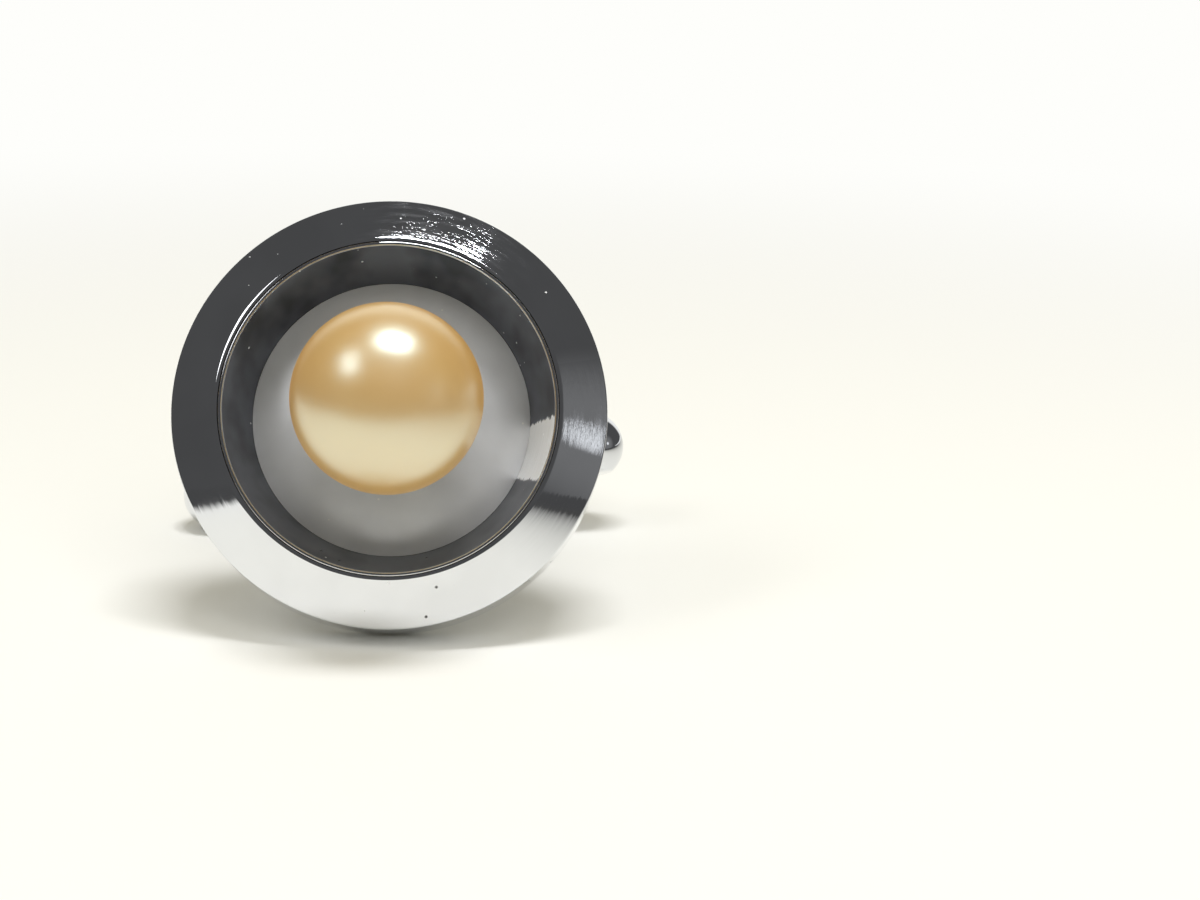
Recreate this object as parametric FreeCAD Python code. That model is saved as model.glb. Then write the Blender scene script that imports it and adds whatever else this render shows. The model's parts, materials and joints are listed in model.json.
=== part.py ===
import FreeCAD, Part
import math
import os

# A dress cufflink: a pearl in a dished, bevelled bezel, on a post with a swivel bar.
#
# The pieces are drawn in the link's own frame: X across the face, Y back along the post from the
# plane of the bevel's outer edge, Z up the face. The finished link is then laid down as it stands
# on a table: on the back edge of its rim, the end of its post and the left tip of its bar.

Vector = FreeCAD.Vector

# Bezel ring
ring_radius = 9.5
bevel_width = 2.0
bevel_rise = 1.2
skirt_depth = 2.7
skirt_wall = 0.88
skirt_chamfer = 0.3
lip_land = 0.12

# Dish and dome
dish_wall = 0.35
dish_rim = 0.16
dish_band = 0.7
dish_slope = 1.1
dish_floor_thickness = 0.35
dome_edge = 0.12
dome_rise = 1.32

# Pearl, its seat and its peg
pearl_radius = 4.1
pearl_hole_depth = 4.4
seat_radius = 3.5
seat_flange = 0.2
seat_overlap = 0.3
seat_hollow_radius = 15.5
glue_line = 0.05
peg_radius = 0.45
peg_head_radius = 0.9
peg_head_height = 0.4
peg_head_slope = 0.3
peg_end_gap = 0.3

# Back plate, foot and post
plate_thickness = 0.55
foot_margin = 0.16
foot_thickness = 0.75
foot_recess = 0.15
foot_chamfer = 0.25
strip_thickness = 0.85
strip_base_width = 3.2
strip_end_width = 2.4
strip_bend = 0.5

# Swivel bar and its rivet
bar_length = 22.0
bar_radius = 1.7
hub_thickness = 2.8
hub_spot_radius = 1.45
rivet_radius = 0.6
rivet_head_radius = 1.05
rivet_head_height = 0.4
washer_radius = 1.3
spring_thickness = 0.18

# Clearances
seat_fit = 0.02
hole_fit = 0.01
running_fit = 0.04
washer_gap = 0.03
bar_side_gap = 0.1
nest_gap = 0.4


def sag(sphere_radius, radius):
    """Depth of a spherical cap of a given rim radius."""
    return sphere_radius - math.sqrt(sphere_radius**2 - radius**2)


# Radii and half widths shared by pieces that fit each other
lip_radius = ring_radius - bevel_width
bore_radius = lip_radius - lip_land
rebate_radius = ring_radius - skirt_wall
plate_radius = rebate_radius - seat_fit
dish_radius = bore_radius - seat_fit
dish_mouth_radius = dish_radius - dish_rim
dish_floor_radius = dish_mouth_radius - dish_slope
dome_radius = dish_floor_radius - seat_fit
dome_sphere_radius = (dome_radius**2 + dome_rise**2) / (2 * dome_rise)
peg_hole_radius = peg_radius + seat_fit
prong_inner = bar_radius + bar_side_gap
prong_outer = prong_inner + strip_thickness
foot_radius = math.hypot(strip_base_width / 2, prong_outer) + foot_margin
washer_height = prong_inner - hub_thickness / 2 - washer_gap
tip_centre_x = bar_length / 2 - bar_radius
rivet_head_sphere = (rivet_head_radius**2 + rivet_head_height**2) / (2 * rivet_head_height)

# Stations along the post, from the plane of the bevel's outer edge
lip_y = -bevel_rise
back_y = skirt_depth
plate_y = back_y - plate_thickness
floor_y = plate_y - dish_floor_thickness
foot_y = back_y - foot_recess
frame_y = foot_y + foot_thickness
frame_floor_y = frame_y + strip_thickness
pivot_y = frame_floor_y + peg_head_height + nest_gap + bar_length / 2
dome_top_y = floor_y - dome_edge - dome_rise
dome_land_y = dome_top_y + sag(dome_sphere_radius, seat_radius)
seat_rim_y = dome_land_y - seat_flange
seat_bottom_y = seat_rim_y + sag(seat_hollow_radius, seat_radius)
pearl_y = seat_bottom_y - glue_line - pearl_radius


def outline(corners):
    """Closed face in the XY plane through (u, v) corners; a third number rounds a corner with an arc."""
    entries = []
    arcs = []
    exits = []
    for index, point in enumerate(corners):
        u, v, radius = (*point, 0)[:3]
        corner = Vector(u, v, 0)
        before = (Vector(*corners[index - 1][:2]) - corner).normalize()
        after = (Vector(*corners[(index + 1) % len(corners)][:2]) - corner).normalize()
        half_angle = before.getAngle(after) / 2
        setback = radius / math.tan(half_angle)
        inward = (before + after).normalize()
        middle = corner + inward * (radius / math.sin(half_angle) - radius)
        entries.append(corner + before * setback)
        exits.append(corner + after * setback)
        arcs.append(middle if radius > 0 else None)
    edges = []
    for index, middle in enumerate(arcs):
        if middle is not None:
            edges.append(Part.Arc(entries[index], middle, exits[index]).toShape())
        following = entries[(index + 1) % len(corners)]
        edges.append(Part.LineSegment(exits[index], following).toShape())
    return Part.Face(Part.Wire(edges))


def turned(corners):
    """Solid turned about the post's axis from (radius, y) corners."""
    return outline(corners).revolve(Vector(0, 0, 0), Vector(0, 1, 0), 360)


def post_cylinder(radius, start_y, end_y):
    """Cylinder on the post's axis between two stations."""
    return Part.makeCylinder(radius, end_y - start_y, Vector(0, start_y, 0), Vector(0, 1, 0))


def rivet_cylinder(radius, half_height):
    """Cylinder on the rivet's axis, as far above the bar as below it."""
    return Part.makeCylinder(radius, 2 * half_height, Vector(0, pivot_y, -half_height), Vector(0, 0, 1))


def bezel_ring():
    """Turned ring: sloping front, straight skirt, and a rebate behind for the back plate."""
    return turned([
        (bore_radius, lip_y),
        (lip_radius, lip_y),
        (ring_radius, 0),
        (ring_radius, back_y - skirt_chamfer),
        (ring_radius - skirt_chamfer, back_y),
        (rebate_radius, back_y),
        (rebate_radius, plate_y),
        (bore_radius, plate_y),
    ])


def dish_cup():
    """Spun cup: a short band that fits the ring, a steep wall and a flat floor with the peg's hole."""
    band_y = lip_y + dish_band
    return turned([
        (dish_mouth_radius, lip_y),
        (dish_radius, lip_y),
        (dish_radius, band_y),
        (dish_floor_radius + dish_wall, plate_y),
        (peg_hole_radius, plate_y),
        (peg_hole_radius, floor_y),
        (dish_floor_radius, floor_y),
    ])


def satin_dome():
    """Shallow dome on the dish floor, flattened to a land round the hole for the pearl's seat."""
    dome = post_cylinder(dome_radius, dome_land_y, floor_y)
    sphere_y = dome_top_y + dome_sphere_radius
    dome = dome.common(Part.makeSphere(dome_sphere_radius, Vector(0, sphere_y, 0)))
    hole = post_cylinder(seat_radius - seat_overlap + seat_fit, dome_land_y, floor_y)
    return dome.cut(hole)


def pearl_seat():
    """Flanged seat: its stem stands on the dish floor, its flange holds the dome down."""
    stem_radius = seat_radius - seat_overlap
    seat = turned([
        (peg_hole_radius, seat_rim_y),
        (seat_radius, seat_rim_y),
        (seat_radius, dome_land_y),
        (stem_radius, dome_land_y),
        (stem_radius, floor_y),
        (peg_hole_radius, floor_y),
    ])
    hollow_y = seat_bottom_y - seat_hollow_radius
    return seat.cut(Part.makeSphere(seat_hollow_radius, Vector(0, hollow_y, 0)))


def pearl():
    """Round pearl, half drilled from behind."""
    bottom_y = pearl_y + pearl_radius
    hole = post_cylinder(peg_hole_radius, bottom_y - pearl_hole_depth, bottom_y)
    return Part.makeSphere(pearl_radius, Vector(0, pearl_y, 0), Vector(0, 1, 0)).cut(hole)


def pearl_peg():
    """Pin from inside the pearl through the whole stack, riveted over inside the post frame."""
    start_y = pearl_y + pearl_radius - pearl_hole_depth + peg_end_gap
    head_y = frame_floor_y + peg_head_height
    return turned([
        (0, start_y),
        (peg_radius, start_y),
        (peg_radius, frame_floor_y),
        (peg_head_radius, frame_floor_y),
        (peg_head_radius - peg_head_slope, head_y),
        (0, head_y),
    ])


def back_plate():
    """Disc that closes the ring from behind, flush with its skirt, with a shallow seat for the foot."""
    recess_radius = foot_radius + seat_fit
    return turned([
        (peg_hole_radius, plate_y),
        (plate_radius, plate_y),
        (plate_radius, back_y),
        (recess_radius, back_y),
        (recess_radius, foot_y),
        (peg_hole_radius, foot_y),
    ])


def post_foot():
    """Round pad that spreads the post's load over the back plate."""
    return turned([
        (peg_hole_radius, foot_y),
        (foot_radius, foot_y),
        (foot_radius, frame_y - foot_chamfer),
        (foot_radius - foot_chamfer, frame_y),
        (peg_hole_radius, frame_y),
    ])


def post_frame():
    """Tapered strip bent to a U: a floor on the foot, and two prongs with round ends for the rivet."""
    end_y = pivot_y + strip_end_width / 2
    bent = outline([
        (frame_y, -prong_outer, strip_bend + strip_thickness),
        (end_y, -prong_outer),
        (end_y, -prong_inner),
        (frame_floor_y, -prong_inner, strip_bend),
        (frame_floor_y, prong_inner, strip_bend),
        (end_y, prong_inner),
        (end_y, prong_outer),
        (frame_y, prong_outer, strip_bend + strip_thickness),
    ])
    # The outline's first direction becomes Y and its second becomes Z
    bent.rotate(Vector(0, 0, 0), Vector(1, 1, 1), 120)
    widest = max(strip_base_width, strip_end_width)
    bent.translate(Vector(-widest / 2, 0, 0))
    strip = bent.extrude(Vector(widest, 0, 0))
    flat = outline([
        (-strip_base_width / 2, frame_y),
        (strip_base_width / 2, frame_y),
        (strip_end_width / 2, pivot_y),
        (-strip_end_width / 2, pivot_y),
    ])
    flat.translate(Vector(0, 0, -prong_outer))
    blank = flat.extrude(Vector(0, 0, 2 * prong_outer))
    blank = blank.fuse(rivet_cylinder(strip_end_width / 2, prong_outer))
    frame = strip.common(blank)
    frame = frame.cut(rivet_cylinder(rivet_radius + hole_fit, prong_outer))
    return frame.cut(post_cylinder(peg_hole_radius, frame_y, frame_floor_y))


def toggle_bar():
    """Round bar with rounded tips, bored across its middle and spot-faced for the two washers."""
    left = Vector(-tip_centre_x, pivot_y, 0)
    right = Vector(tip_centre_x, pivot_y, 0)
    bar = Part.makeCylinder(bar_radius, 2 * tip_centre_x, left, Vector(1, 0, 0))
    bar = bar.fuse([Part.makeSphere(bar_radius, left), Part.makeSphere(bar_radius, right)])
    bar = bar.removeSplitter()
    hub = rivet_cylinder(hub_spot_radius, hub_thickness / 2)
    bar = bar.cut(rivet_cylinder(hub_spot_radius, bar_radius).cut(hub))
    return bar.cut(rivet_cylinder(rivet_radius + running_fit, bar_radius))


def pivot_rivet():
    """Pin through both prongs and the bar, with a domed head at each end."""
    rivet = rivet_cylinder(rivet_radius, prong_outer)
    reach = prong_outer + rivet_head_height
    for side in (1, -1):
        centre = Vector(0, pivot_y, side * (reach - rivet_head_sphere))
        base = Vector(0, pivot_y, side * prong_outer)
        blank = Part.makeCylinder(rivet_head_radius, rivet_head_height, base, Vector(0, 0, side))
        rivet = rivet.fuse(blank.common(Part.makeSphere(rivet_head_sphere, centre)))
    return rivet.removeSplitter()


def washer_ring(inner_z, dish):
    """Washer round the rivet from its inner face to the prong; a dished one is pressed into a cone."""
    hole_radius = rivet_radius + seat_fit
    thickness = washer_height - dish
    ring = outline([
        (hole_radius, inner_z),
        (washer_radius, inner_z + dish),
        (washer_radius, inner_z + dish + thickness),
        (hole_radius, inner_z + thickness),
    ])
    ring.rotate(Vector(0, 0, 0), Vector(1, 0, 0), 90)
    ring = ring.revolve(Vector(0, 0, 0), Vector(0, 0, 1), 360)
    ring.translate(Vector(0, pivot_y, 0))
    return ring


def spring_washer():
    """Dished friction washer above the bar."""
    return washer_ring(prong_inner - washer_height, washer_height - spring_thickness)


def bearing_washer():
    """Plain washer below the bar."""
    return washer_ring(-prong_inner, 0)


# Round edges that the link stands on or reaches out with: a circle's centre, axis and radius, and
# the radius of the rounding that runs round it
head_centre_z = prong_outer + rivet_head_height - rivet_head_sphere
rim_side = (Vector(0, back_y - skirt_chamfer, 0), Vector(0, 1, 0), ring_radius, 0)
rim_back = (Vector(0, back_y, 0), Vector(0, 1, 0), ring_radius - skirt_chamfer, 0)
lower_prong = (Vector(0, pivot_y, -prong_outer), Vector(0, 0, 1), strip_end_width / 2, 0)
upper_prong = (Vector(0, pivot_y, prong_outer), Vector(0, 0, 1), strip_end_width / 2, 0)
lower_head = (Vector(0, pivot_y, -head_centre_z), Vector(0, 0, 1), 0, rivet_head_sphere)
left_tip = (Vector(-tip_centre_x, pivot_y, 0), Vector(1, 0, 0), 0, bar_radius)
right_tip = (Vector(tip_centre_x, pivot_y, 0), Vector(1, 0, 0), 0, bar_radius)
pearl_front = (Vector(0, pearl_y, 0), Vector(0, 1, 0), 0, pearl_radius)


def reach(direction, *round_edges):
    """How far the farthest of some round edges lies from the link's origin in a direction."""
    distances = []
    for centre, axis, radius, rounding in round_edges:
        across = math.sqrt(max(0, 1 - direction.dot(axis) ** 2))
        distances.append(direction.dot(centre) + radius * across + rounding)
    return max(distances)


def stance(tilt, roll):
    """Turn of the link: rolled about its post, right tip up, then tilted back with its face up."""
    tilted = FreeCAD.Rotation(Vector(1, 0, 0), -math.degrees(tilt))
    return tilted.multiply(FreeCAD.Rotation(Vector(0, 1, 0), -math.degrees(roll)))


def link_direction(turn, direction):
    """A direction of the table's frame, seen in the frame of the turned link."""
    return turn.inverted().multVec(direction)


def crossing(function, low, high):
    """Angle where a rising function passes zero, by halving, or the nearer end if it doesn't."""
    for step in range(50):
        middle = (low + high) / 2
        if function(middle) > 0:
            high = middle
        else:
            low = middle
    return (low + high) / 2


def level_tilt(roll):
    """Tilt that brings the rim and the back of the link down to the same level."""
    def back_below_rim(tilt):
        down = link_direction(stance(tilt, roll), Vector(0, 0, -1))
        return reach(down, lower_prong, lower_head, left_tip) - reach(down, rim_side, rim_back)
    return crossing(back_below_rim, 0, math.pi / 2)


def level_roll():
    """Roll that brings the bar's left tip down to the level of the post's end."""
    def tip_below_post(roll):
        down = link_direction(stance(level_tilt(roll), roll), Vector(0, 0, -1))
        return reach(down, left_tip) - reach(down, lower_prong, lower_head)
    return crossing(tip_below_post, 0, math.pi / 4)


def standing_place():
    """Placement that lays the link on the table, over the middle of its own footprint."""
    roll = level_roll()
    turn = stance(level_tilt(roll), roll)
    front = reach(link_direction(turn, Vector(0, -1, 0)), pearl_front)
    back = reach(link_direction(turn, Vector(0, 1, 0)), upper_prong, right_tip)
    height = reach(link_direction(turn, Vector(0, 0, -1)), rim_side, rim_back)
    return FreeCAD.Placement(Vector(0, (front - back) / 2, height), turn)


pieces = {
    "bezel_ring": bezel_ring,
    "dish_cup": dish_cup,
    "satin_dome": satin_dome,
    "pearl_seat": pearl_seat,
    "pearl": pearl,
    "pearl_peg": pearl_peg,
    "back_plate": back_plate,
    "post_foot": post_foot,
    "post_frame": post_frame,
    "pivot_rivet": pivot_rivet,
    "spring_washer": spring_washer,
    "bearing_washer": bearing_washer,
    "toggle_bar": toggle_bar,
}

os.makedirs("parts", exist_ok=True)
place = standing_place()
for name, make in pieces.items():
    solid = make().Solids[0]
    solid.Placement = place.multiply(solid.Placement)
    solid.exportStep("parts/" + name + ".step")
    print(name, "volume", round(solid.Volume, 3), "valid", solid.isValid())
print("link's frame on the table:", place)
print("rivet's middle:", place.multVec(Vector(0, pivot_y, 0)))
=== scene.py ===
# %% [markdown]
# # A dress cufflink with a golden pearl
#
# The CAD model gives every piece its size, its place and its joint. This lesson gives each piece the smooth
# skin and the finish of the real one. Nearly all of it is polished plate, which has no look of its own and
# only shows what stands round it, so much of the work is the light.

# %% Load the frame
import json
import math
import bmesh
import bpy
import numpy as np
from mathutils import Matrix, Quaternion, Vector


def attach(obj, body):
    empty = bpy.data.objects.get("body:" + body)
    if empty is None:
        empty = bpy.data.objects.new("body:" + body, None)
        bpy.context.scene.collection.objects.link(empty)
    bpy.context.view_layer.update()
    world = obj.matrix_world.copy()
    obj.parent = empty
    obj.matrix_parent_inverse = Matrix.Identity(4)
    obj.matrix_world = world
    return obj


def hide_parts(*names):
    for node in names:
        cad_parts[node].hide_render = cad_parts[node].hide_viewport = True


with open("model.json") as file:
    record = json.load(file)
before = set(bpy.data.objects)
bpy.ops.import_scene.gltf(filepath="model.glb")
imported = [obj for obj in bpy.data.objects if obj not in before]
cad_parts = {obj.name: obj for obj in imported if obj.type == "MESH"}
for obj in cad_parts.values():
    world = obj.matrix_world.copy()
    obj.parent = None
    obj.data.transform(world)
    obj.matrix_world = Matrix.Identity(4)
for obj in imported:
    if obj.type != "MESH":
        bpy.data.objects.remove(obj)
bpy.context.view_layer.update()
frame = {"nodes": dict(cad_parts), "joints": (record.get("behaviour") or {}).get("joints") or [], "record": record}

# %% [markdown]
# ## The link's own axes
#
# On the table the link leans on its rim, the end of its post and one tip of its bar, so no piece is square
# to the world. In the link's own axes all is simple: X runs across the face, Y back along the post and Z
# along the swivel's rivet. The flat back gives the post's direction and the hinge the rivet's, so the axes
# are read from the frame and not written down again.

# %% Find the link's axes
# A millimetre in metres, and how close, in mm, two places count as one
MM = 0.001
TOUCH = 0.01
hinge = frame["joints"][0]
back_face = frame["record"]["mounts"][0]
post_way = np.array(back_face["axis"])
rivet_way = np.array(hinge["axis"])
bar_way = np.cross(post_way, rivet_way)
link_axes = np.stack([bar_way, post_way, rivet_way])
rivet_middle = np.array(hinge["pos_m"])


def corners_in_link(piece):
    """Corners of a piece in mm along the link's axes, measured from the middle of the rivet."""
    flat = np.empty(3 * len(piece.data.vertices))
    piece.data.vertices.foreach_get("co", flat)
    return (flat.reshape(-1, 3) - rivet_middle) @ link_axes.T / MM


def turned_corners(node, axis=1):
    """Distance from an axis of the link and station along it, in mm, of each corner of a turned node."""
    corners = corners_in_link(frame["nodes"][node])
    others = [index for index in range(3) if index != axis]
    return np.hypot(*corners[:, others].T), corners[:, axis]


def near(values, level):
    """Marks the values that lie at a level."""
    return np.abs(values - level) < TOUCH


print("post runs along", post_way, "and the rivet along", rivet_way)

# %% [markdown]
# ## Turning a profile
#
# Rim, dish, dome, seat, plate, rivet and washers are all turned work: one outline spun about an axis. A
# modifier could spin it, but a formula gives every ring of points at once and leaves no seam. Real turned
# edges are never knife sharp, and the thin bright lines on polished metal come from just those small
# roundings, so the outline's corners are rounded with true arcs before it is spun.

# %% Outlines with rounded corners
ARC_STEPS = 6
GUARD = 0.02


def rounded_outline(corners):
    """Outline through (radius, station, rounding) corners, in mm.

    A rounding replaces the corner by an arc that is tangent to both sides. Its ends lie at
    rounding / tan(half the corner's angle) from the corner, and its points are blended from the two end
    directions seen from its centre: (sin((1-t)w) a + sin(tw) b) / sin(w), w being the arc's angle. A guard
    point just outside each end keeps the flats beside the arc flat in smooth shading.
    """
    points = []
    t = np.linspace(0, 1, ARC_STEPS + 1)[:, None]
    for index, (radius, station, rounding) in enumerate(corners):
        corner = np.array([radius, station])
        if rounding == 0:
            points.append(corner[None])
            continue
        before = np.array(corners[index - 1][:2]) - corner
        after = np.array(corners[(index + 1) % len(corners)][:2]) - corner
        before = before / np.linalg.norm(before)
        after = after / np.linalg.norm(after)
        half = math.acos(np.clip(before @ after, -1, 1)) / 2
        inward = (before + after) / np.linalg.norm(before + after)
        setback = rounding / math.tan(half)
        centre = corner + inward * rounding / math.sin(half)
        first = corner + before * setback
        last = corner + after * setback
        sweep = math.pi - 2 * half
        blend = np.sin((1 - t) * sweep) * (first - centre) + np.sin(t * sweep) * (last - centre)
        arc = centre + blend / math.sin(sweep)
        points += [(first + before * GUARD)[None], arc, (last + after * GUARD)[None]]
    return np.concatenate(points)


def cap_outline(rim_radius, rim_station, end_radius, centre_station, steps):
    """Points of a sphere's outline from its rim to a smaller radius: the radius steps evenly in angle."""
    sphere = math.hypot(rim_radius, rim_station - centre_station)
    side = math.copysign(1, rim_station - centre_station)
    angles = np.linspace(math.asin(rim_radius / sphere), math.asin(end_radius / sphere), steps)
    return np.stack([sphere * np.sin(angles), centre_station + side * sphere * np.cos(angles)], 1)


print("a rounded corner has", ARC_STEPS, "steps")

# %% Spinning an outline
TURN_STEPS = 256
SHARP_ANGLE = math.radians(35)


def into_scene(name, data):
    """New object with that data, in the scene."""
    made = bpy.data.objects.new(name, data)
    bpy.context.scene.collection.objects.link(made)
    return made


def new_piece(name, points_mm, faces, turning):
    """Object at the origin from points in mm along the link's axes, with its pattern coordinates."""
    mesh = bpy.data.meshes.new(name)
    places = points_mm @ link_axes * MM + rivet_middle
    mesh.from_pydata(places.tolist(), [], faces)
    pattern = mesh.attributes.new("turning", "FLOAT_VECTOR", "POINT")
    pattern.data.foreach_set("vector", turning.astype(np.float32).ravel())
    mesh.shade_smooth()
    mesh.set_sharp_from_angle(angle=SHARP_ANGLE)
    return into_scene(name, mesh)


def turned(name, outline, axis=1, segments=TURN_STEPS):
    """Outline of (radius, station) spun about an axis of the link.

    A point goes to radius cos(a) on the axis before, station on the axis itself and radius sin(a) on the
    axis after, for every angle a. An outline that ends on the axis is closed there by a fan, any other is
    joined to its start. The pattern coordinates are (cos a, sin a, length along the outline in mm), so a
    pattern runs round without a seam.
    """
    open_ended = outline[0, 0] == 0
    rings = outline[1:-1] if open_ended else outline
    angle = np.linspace(0, 2 * np.pi, segments, endpoint=False)
    length = np.concatenate([[0], np.cumsum(np.linalg.norm(np.diff(outline, axis=0), axis=1))])
    run = (length[1:-1] if open_ended else length)[:, None]
    grid = np.broadcast_arrays(np.cos(angle), np.sin(angle), *rings.T[:, :, None], run)
    cosine, sine, radius, station, run = grid
    points = np.stack([radius * cosine, station, radius * sine], 2).reshape(-1, 3)
    turning = np.stack([cosine, sine, run], 2).reshape(-1, 3)
    index = np.arange(len(points)).reshape(len(rings), segments)
    if not open_ended:
        index = np.concatenate([index, index[:1]])
    around = np.roll(index, -1, 1)
    quads = np.stack([index[:-1], index[1:], around[1:], around[:-1]], 2).reshape(-1, 4)
    faces = quads.tolist()
    if open_ended:
        poles = np.array([[0, outline[0, 1], 0], [0, outline[-1, 1], 0]])
        start = np.full(segments, len(points))
        points = np.concatenate([points, poles])
        turning = np.concatenate([turning, [[0, 0, 0], [0, 0, length[-1]]]])
        faces += np.stack([start, index[0], around[0]], 1).tolist()
        faces += np.stack([index[-1], start + 1, around[-1]], 1).tolist()
    order = np.roll(np.arange(3), axis - 1)
    return new_piece(name, points[:, order], faces, turning)


print("a turned piece has", TURN_STEPS, "steps round its axis")

# %% [markdown]
# ## Nodes without the noise
#
# Materials are written as node trees. One small function adds a node, sets it up and links it, so that the
# rest of the code reads as a recipe. Colours are written as sRGB hex values, as on a paint chart, and turned
# to the linear values of the renderer.

# %% Colour and node helpers


def linear(hex_colour):
    """sRGB hex to linear RGBA: c / 12.92 below 0.04045, otherwise ((c + 0.055) / 1.055) to the power 2.4."""
    srgb = np.array([int(hex_colour[start:start + 2], 16) for start in (1, 3, 5)]) / 255
    light = np.where(srgb <= 0.04045, srgb / 12.92, ((srgb + 0.055) / 1.055) ** 2.4)
    return (*light.tolist(), 1.0)


def add(tree, kind, inputs, **settings):
    """Adds a node: settings are its own options, inputs are values or other nodes' outputs."""
    node = tree.nodes.new("ShaderNode" + kind)
    for option, value in settings.items():
        setattr(node, option, value)
    for socket, value in inputs.items():
        if isinstance(value, bpy.types.NodeSocket):
            tree.links.new(value, node.inputs[socket])
        else:
            node.inputs[socket].default_value = value
    return node.outputs


def new_material(name):
    """Empty material with its node tree and its output node's surface socket."""
    material = bpy.data.materials.new(name)
    material.use_nodes = True
    tree = material.node_tree
    tree.nodes.clear()
    return material, tree, tree.nodes.new("ShaderNodeOutputMaterial").inputs["Surface"]


def point_in_mm(tree):
    """Place on the piece, in mm instead of the mesh's metres."""
    place = add(tree, "TexCoord", {})["Object"]
    return add(tree, "VectorMath", {0: place, "Scale": 1 / MM}, operation="SCALE")["Vector"]


def scattered(tree, point, spacing, radius, share):
    """Marks small round spots: one in each cell of that spacing, if the cell's own lot is in the share."""
    cells = add(tree, "TexVoronoi", {"Vector": point, "Scale": 1 / spacing})
    spot = add(tree, "MapRange", {
        "Value": cells["Distance"], "From Min": radius / spacing, "From Max": radius / spacing / 2,
    })["Result"]
    lot = add(tree, "SeparateXYZ", {"Vector": cells["Color"]})["X"]
    drawn = add(tree, "Math", {0: lot, 1: share}, operation="LESS_THAN")[0]
    return add(tree, "Math", {0: spot, 1: drawn}, operation="MULTIPLY")[0]


print("the middle grey #808080 is", round(linear("#808080")[0], 3), "in linear light")

# %% [markdown]
# ## Polished plate
#
# The metal is turned brass under a thin bright plate of a rhodium colour. A plain mirror would look too
# perfect, and a picture of scratches would have to be unwrapped onto every piece. So the marks of making
# are worked out by formula: lathe and buff leave faint rings that comb the edge of every reflection, and the
# plate lies a little wavy. All of it is only thousandths of a millimetre deep, so it goes into the normals
# and not into the mesh.

# %% Bright plate
CLEAN_PLATE = "#E6E8EC"
# Buffing lines are a few hundredths of a millimetre apart, too fine to show, so they are drawn coarser
RING_SPACING = 0.16
RING_TURN = 0.3
RING_RELIEF = 0.0016
WAVE_SIZE = 1.6
WAVE_RELIEF = 0.003
WAVE_LOW = 0.35
WAVE_HIGH = 0.7
MIRROR_ROUGHNESS = 0.025
HAZE_ROUGHNESS = 0.06


def buffed(tree, turning, point):
    """Normal and roughness of a buffed face: rings, long round the axis and narrow across it, over waves."""
    combed = add(tree, "Mapping", {
        "Vector": turning, "Scale": (1 / RING_TURN, 1 / RING_TURN, 1 / RING_SPACING),
    })["Vector"]
    rings = add(tree, "TexNoise", {"Vector": combed, "Scale": 1.0, "Detail": 3.0})["Fac"]
    waves = add(tree, "TexNoise", {"Vector": point, "Scale": 1 / WAVE_SIZE, "Detail": 1.0})["Fac"]
    ringed = add(tree, "Bump", {"Distance": RING_RELIEF * MM, "Height": rings})["Normal"]
    relief = add(tree, "Bump", {"Distance": WAVE_RELIEF * MM, "Height": waves, "Normal": ringed})["Normal"]
    roughness = add(tree, "MapRange", {
        "Value": waves, "From Min": WAVE_LOW, "From Max": WAVE_HIGH, "To Min": MIRROR_ROUGHNESS,
        "To Max": HAZE_ROUGHNESS,
    })["Result"]
    return relief, roughness


def bright_plate():
    """Rhodium-coloured plate over turned and buffed brass: to the eye a mirror, faintly combed by rings."""
    material, tree, surface = new_material("rhodium_plated_brass_polished")
    turning = add(tree, "Attribute", {}, attribute_name="turning")["Vector"]
    relief, roughness = buffed(tree, turning, point_in_mm(tree))
    shader = add(tree, "BsdfPrincipled", {
        "Base Color": linear(CLEAN_PLATE), "Metallic": 1.0, "Roughness": roughness, "Normal": relief,
    })
    tree.links.new(shader["BSDF"], surface)
    return material


plate = bright_plate()
print("made", plate.name)

# %% [markdown]
# ## Worn plate and painted light
#
# Years of use leave their marks on the face: scuffs that run round it where it was rubbed, smears, dust,
# and pinholes low on the rim. The same material also paints light and shade into the dish: a pale, matt spot
# on its wall is a painted highlight, and the wall's darker colour under heavy smears is painted shade. The
# marks are too fine to model one by one. Noise that is stretched along the ring gives the scuffs and the
# ragged edge of the spot, broad noise the smears, and a field of cells, each with a spot or none by lot, gives
# dust and pinholes.

# %% Scuffs, smears and painted shade
FACE_RADIUS = 8.5
SCUFF_LENGTH = 1.5
SCUFF_WIDTH = 0.22
# The noise is turned out of the ring's directions, so that its lattice doesn't show as straight lines
LATTICE_TURN = (0.7, 0.6, 0.9)
# Dark colour of the smears, which in the dish is painted shade
SMEAR_AND_SHADE = "#3A3A3C"
SMEAR_SIZE = 3.0
SMEAR_LOW = 0.4
SMEAR_HIGH = 0.65


def round_patch(tree, way, middle, outer, inner, blend="LINEAR"):
    """Marks the ways near a middle one: 0 from the outer angle off it, 1 from the inner one, in degrees."""
    nearness = add(tree, "VectorMath", {0: way, 1: middle}, operation="DOT_PRODUCT")["Value"]
    return add(tree, "MapRange", {
        "Value": nearness,
        "From Min": math.cos(math.radians(outer)),
        "From Max": math.cos(math.radians(inner)),
    }, interpolation_type=blend)["Result"]


def scuffed_and_painted_places(tree, turning, places):
    """Marks (angle, spread) places round the axis: each fades out from half its spread to all of it."""
    patch = 0.0
    for angle, spread in places:
        middle = (math.cos(math.radians(angle)), math.sin(math.radians(angle)), 0)
        marked = round_patch(tree, turning, middle, spread, spread / 2)
        patch = add(tree, "Math", {0: patch, 1: marked}, operation="MAXIMUM")[0]
    return patch


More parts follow.
